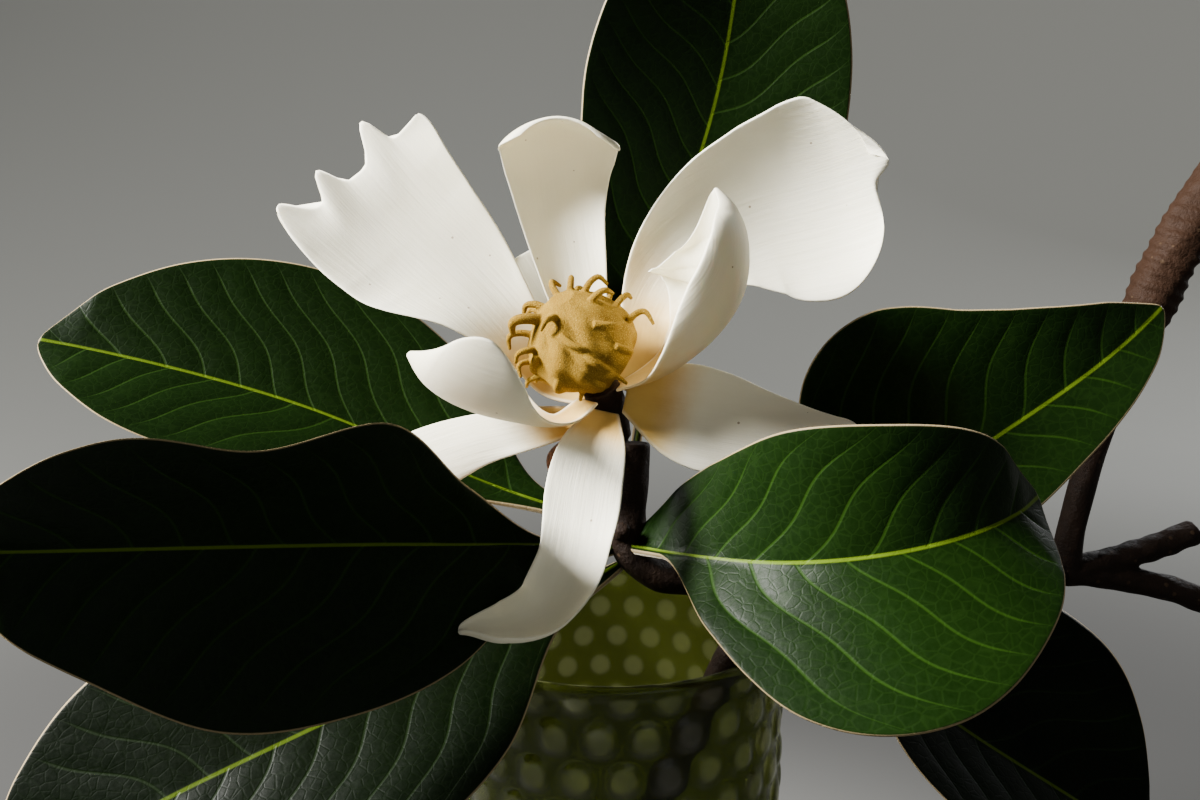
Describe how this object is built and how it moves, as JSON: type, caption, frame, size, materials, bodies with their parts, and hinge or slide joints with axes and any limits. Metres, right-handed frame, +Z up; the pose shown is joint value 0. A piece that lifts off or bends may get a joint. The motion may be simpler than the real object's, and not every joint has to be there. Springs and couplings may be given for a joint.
{
  "type": "magnolia branch in a vase",
  "caption": "Cut magnolia branch with an open white flower and broad glossy leaves, standing in a green hobnail glass vase.",
  "frame": {"origin": "centre of the vase's flat foot, on the surface it stands on", "axes": "+Z up; +X along the branch's long arm, to the right seen from the front; -Y is the side the flower faces"},
  "size_m": [0.432, 0.187, 0.4557],
  "materials": {
    "green_glass": "polished, hobnail pattern",
    "bark": "rough bark with ring scars",
    "carpel_gold": "flocked",
    "petal_cream": "soft matte, golden at the base",
    "leaf_green": "waxy gloss above, rust-brown felt below",
    "bract_brown": "matte"
  },
  "bodies": {
    "root": {"vase": "green_glass", "branch": "bark", "carpel_cone": "carpel_gold", "petal_1": "petal_cream", "petal_2": "petal_cream", "petal_3": "petal_cream", "petal_4": "petal_cream", "petal_5": "petal_cream", "petal_6": "petal_cream", "petal_7": "petal_cream", "petal_8": "petal_cream", "petal_9": "petal_cream", "leaf_1": "leaf_green", "leaf_2": "leaf_green", "leaf_3": "leaf_green", "leaf_4": "leaf_green", "leaf_5": "leaf_green", "leaf_6": "leaf_green", "leaf_7": "leaf_green", "leaf_8": "leaf_green", "bract_1": "bract_brown"}
  },
  "joints": []
}
